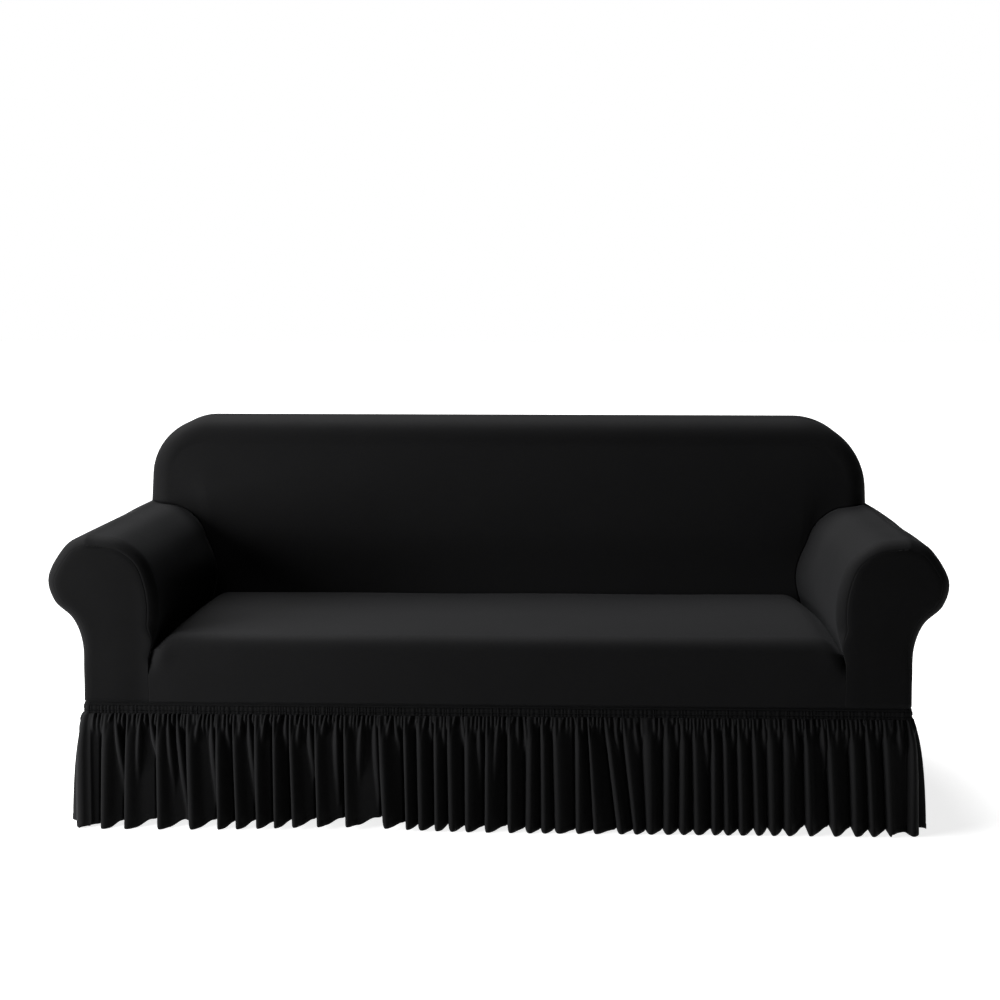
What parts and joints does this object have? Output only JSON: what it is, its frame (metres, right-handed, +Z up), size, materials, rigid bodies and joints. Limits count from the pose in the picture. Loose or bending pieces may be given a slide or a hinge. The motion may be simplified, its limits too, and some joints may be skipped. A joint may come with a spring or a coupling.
{
  "type": "sofa slipcover",
  "caption": "Hollow fitted stretch slipcover for a rolled-arm sofa, with a shirred waist and a gathered skirt to the floor.",
  "frame": {"origin": "underside of the cloth at the middle of the top of the back, where the sofa carries it", "axes": "+X to the right seen from the front, +Y to the rear, +Z up"},
  "size_m": [2.103, 0.971, 0.8865],
  "materials": {
    "body_cloth": "matte black stretch knit, smooth and tight",
    "waist_elastic": "matte black stretch knit shirred on elastic",
    "skirt_cloth": "matte black stretch knit, gathered"
  },
  "bodies": {
    "root": {"inside_back": "body_cloth", "outside_back": "body_cloth", "seat_panel": "body_cloth", "arm_left": "body_cloth", "arm_right": "body_cloth", "arm_front_left": "body_cloth", "arm_front_right": "body_cloth", "waist_front": "waist_elastic", "waist_left": "waist_elastic", "waist_right": "waist_elastic", "waist_back": "waist_elastic", "skirt_front": "skirt_cloth", "skirt_left": "skirt_cloth", "skirt_right": "skirt_cloth", "skirt_back": "skirt_cloth"}
  },
  "joints": []
}
